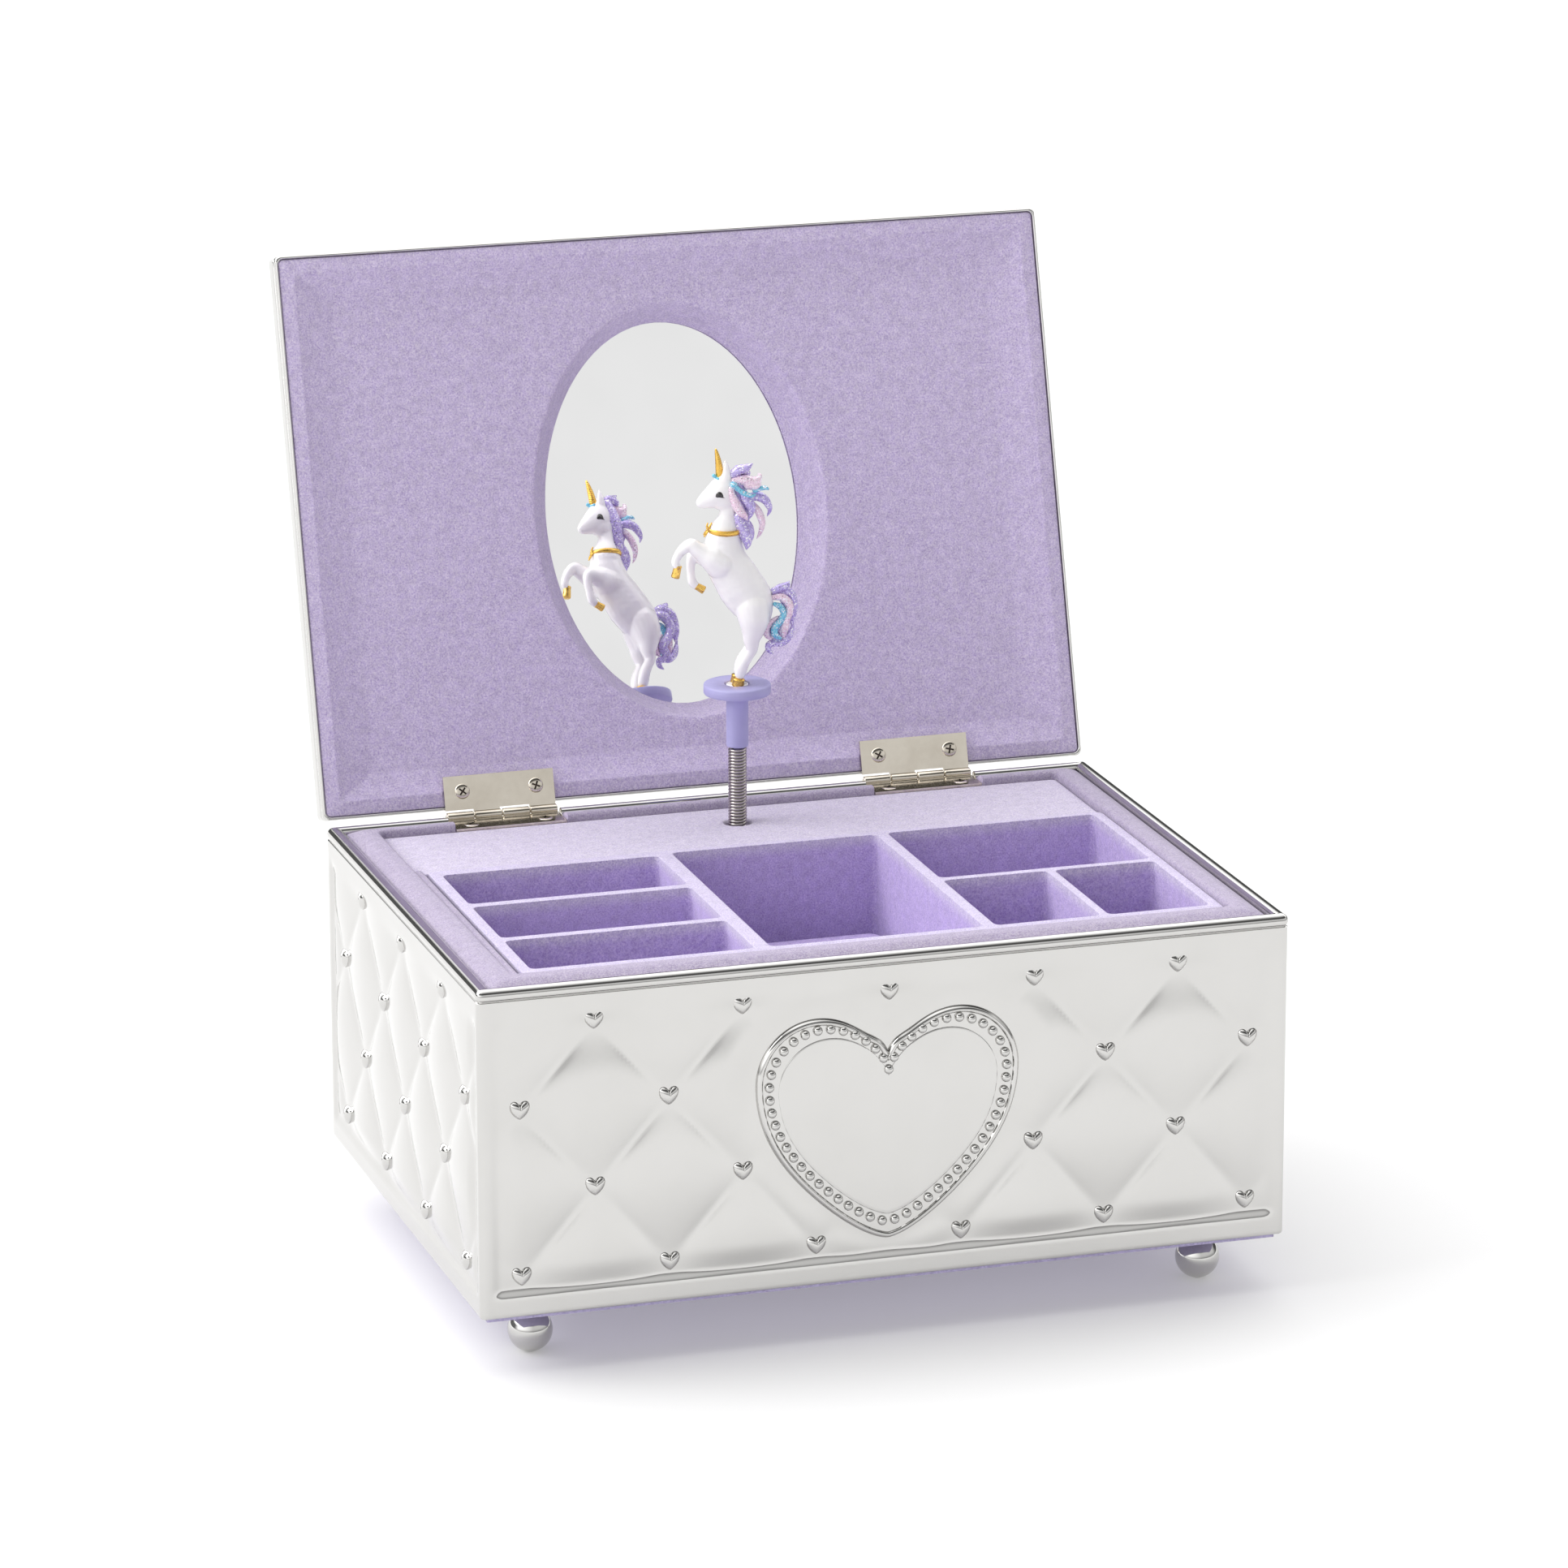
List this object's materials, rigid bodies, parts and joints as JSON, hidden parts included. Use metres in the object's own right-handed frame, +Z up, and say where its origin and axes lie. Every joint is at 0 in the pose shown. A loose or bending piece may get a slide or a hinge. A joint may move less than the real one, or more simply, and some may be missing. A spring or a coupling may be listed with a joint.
{
  "type": "wind up music box",
  "caption": "Silver-plated quilted musical jewellery box, open lid with oval mirror, flocked tray and a unicorn turning on a spring.",
  "frame": {"origin": "centre of the body's plan, on the surface the four feet stand on", "axes": "+Z up, the box front with the big heart looks along -Y, the lid opens towards +Y, +X to the right seen from the front"},
  "size_m": [0.1778, 0.175, 0.205],
  "materials": {
    "silver": "polished silver plate",
    "board": "raw fibreboard",
    "felt": "felt",
    "flock": "flocked moulding",
    "nickel": "nickel plate",
    "steel": "bright steel",
    "brass": "machined",
    "mirror": "silvered glass",
    "plastic": "satin",
    "white": "glossy painted resin",
    "gold": "gold paint",
    "glitter": "glitter paint"
  },
  "bodies": {
    "case": {"case_shell": "silver", "case_carcass": "board", "base_plate": "felt", "foot_front_left": "silver", "foot_front_right": "silver", "foot_back_right": "silver", "foot_back_left": "silver", "ledge_frame": "flock", "movement_partition": "board", "rear_deck": "flock", "tray": "flock", "tray_centre_step": "flock", "heart_plate": "silver", "hinge_left_case_leaf": "nickel", "hinge_left_pin": "nickel", "hinge_left_case_screw_1": "nickel", "hinge_left_case_screw_2": "nickel", "hinge_right_case_leaf": "nickel", "hinge_right_pin": "nickel", "hinge_right_case_screw_1": "nickel", "hinge_right_case_screw_2": "nickel", "movement_frame": "steel", "music_comb": "steel"},
    "lid": {"lid_shell": "silver", "lid_liner": "flock", "lid_mirror": "mirror", "lid_backing_board": "board", "hinge_left_lid_leaf": "nickel", "hinge_left_lid_screw_1": "nickel", "hinge_left_lid_screw_2": "nickel", "hinge_right_lid_leaf": "nickel", "hinge_right_lid_screw_1": "nickel", "hinge_right_lid_screw_2": "nickel"},
    "fold_carrier": {"figure_spring": "steel"},
    "barrel": {"mainspring_barrel": "brass"},
    "cylinder": {"music_cylinder": "brass"},
    "governor": {"governor": "steel"},
    "key": {"winding_key": "brass"},
    "figure": {"turntable_disc": "plastic", "unicorn_body": "white", "unicorn_horn": "gold", "unicorn_collar": "gold", "unicorn_mane": "glitter", "unicorn_tail": "glitter"}
  },
  "joints": [
    {"name": "lid_hinge", "type": "hinge", "parent": "case", "child": "lid", "pos_m": [0, 0.0642, 0.0837], "axis": [1, 0, 0], "range_deg": [0, 106.5]},
    {"name": "figure_fold", "type": "hinge", "parent": "case", "child": "fold_carrier", "pos_m": [0, 0.0433, 0.0901], "axis": [1, 0, 0], "range_deg": [0, 103.2], "deforming": ["figure_spring"]},
    {"name": "figure_spin", "type": "hinge", "parent": "fold_carrier", "child": "figure", "pos_m": [0, 0.044, 0.1], "axis": [0, 0, 1], "continuous": true},
    {"name": "barrel_turn", "type": "hinge", "parent": "case", "child": "barrel", "pos_m": [0, 0.044, 0.03], "axis": [0, 0, 1], "continuous": true},
    {"name": "cylinder_turn", "type": "hinge", "parent": "case", "child": "cylinder", "pos_m": [0.026, 0.044, 0.0428], "axis": [1, 0, 0], "continuous": true},
    {"name": "governor_turn", "type": "hinge", "parent": "case", "child": "governor", "pos_m": [0.026, 0.0471, 0.0311], "axis": [1, 0, 0], "continuous": true},
    {"name": "key_turn", "type": "hinge", "parent": "case", "child": "key", "pos_m": [0, 0.044, 0.006], "axis": [0, 0, 1], "continuous": true}
  ],
  "couplings": [
    {"joint": "figure_fold", "follows": "lid_hinge", "ratio": 0.96714},
    {"joint": "figure_spin", "follows": "barrel_turn", "ratio": 1},
    {"joint": "cylinder_turn", "follows": "barrel_turn", "ratio": 1.6667},
    {"joint": "governor_turn", "follows": "barrel_turn", "ratio": -5}
  ]
}
